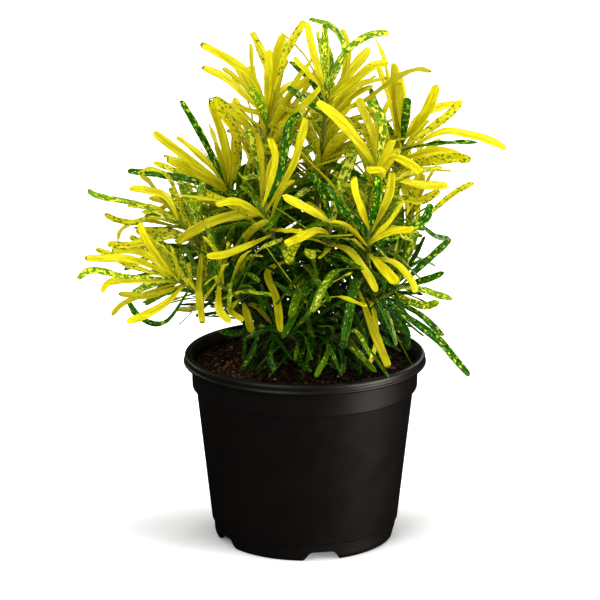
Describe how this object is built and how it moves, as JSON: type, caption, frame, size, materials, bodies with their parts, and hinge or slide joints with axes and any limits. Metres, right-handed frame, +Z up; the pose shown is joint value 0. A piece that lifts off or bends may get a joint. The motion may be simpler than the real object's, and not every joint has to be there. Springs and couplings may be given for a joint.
{
  "type": "potted croton",
  "caption": "Bushy house plant with narrow strap leaves on forked woody stems, standing in soil in a tapered round nursery pot.",
  "frame": {"origin": "on the pot's axis, on the surface that the pot's foot ring stands on; the crown is balanced about that axis", "axes": "+Z up along the pot's axis, -Y the front that the plant is looked at from, +X to the right as seen from the front"},
  "size_m": [0.2932, 0.2409, 0.3717],
  "materials": {
    "pot": "black moulded plastic, satin with a fine grain",
    "soil": "dark bark and peat mix, rough and crumbly",
    "leaf_gold": "waxy golden leaves with green specks on grey-brown woody stems",
    "leaf_green": "waxy dark green leaves dusted with small gold spots"
  },
  "bodies": {
    "root": {"pot": "pot", "soil": "soil", "stem_left": "leaf_gold", "stem_upper_left": "leaf_gold", "stem_centre": "leaf_gold", "stem_right": "leaf_gold", "stem_front_right": "leaf_gold", "stem_back_left": "leaf_gold", "stem_back_right": "leaf_gold", "stem_low": "leaf_green"}
  },
  "joints": []
}
